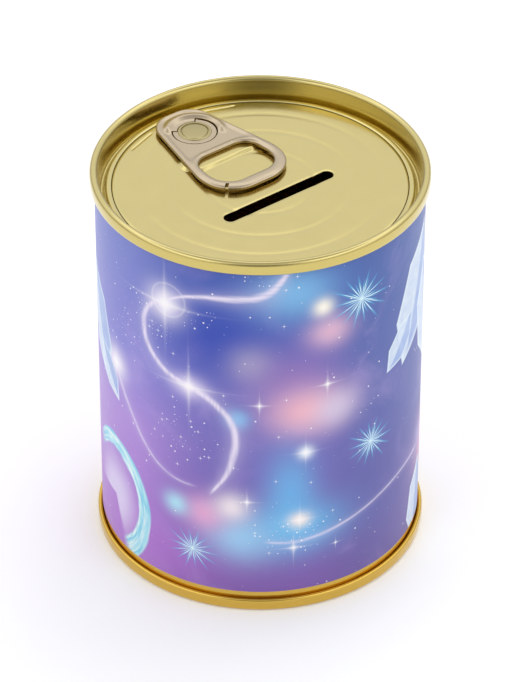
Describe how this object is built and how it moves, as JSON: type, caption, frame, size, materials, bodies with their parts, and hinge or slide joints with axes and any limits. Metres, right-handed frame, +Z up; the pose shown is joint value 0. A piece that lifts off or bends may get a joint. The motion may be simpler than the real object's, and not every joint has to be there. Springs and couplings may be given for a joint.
{
  "type": "tin money box",
  "caption": "Round tinplate money box with a coin slot in its ring-pull lid, which is torn open to empty it.",
  "frame": {"origin": "centre of the bottom seam's resting ring", "axes": "+Z up the can's axis; X along the coin slot; the tab's rivet is on the +Y side"},
  "size_m": [0.0762, 0.0762, 0.097],
  "materials": {
    "gold_lacquer": "satin champagne-gold lacquer",
    "deep_gold": "glossy gold lacquer",
    "tab_metal": "satin beige lacquer",
    "printed_label": "satin printed film",
    "sealing_compound": "matt"
  },
  "bodies": {
    "can": {"body_shell": "deep_gold", "label_wrap": "printed_label", "bottom_end": "deep_gold", "bottom_seam_compound": "sealing_compound", "top_end_ring": "gold_lacquer", "top_seam_compound": "sealing_compound"},
    "panel": {"tear_panel": "gold_lacquer", "tab_rivet": "gold_lacquer", "tab_tongue": "tab_metal"},
    "tab": {"pull_tab": "tab_metal"}
  },
  "joints": [
    {"name": "panel_peel", "type": "hinge", "parent": "can", "child": "panel", "pos_m": [0, -0.0332, 0.0925], "axis": [1, 0, 0], "range_deg": [0, 70]},
    {"name": "tab_lift", "type": "hinge", "parent": "panel", "child": "tab", "pos_m": [0, 0.033, 0.09279], "axis": [-1, 0, 0], "range_deg": [0, 90]}
  ]
}
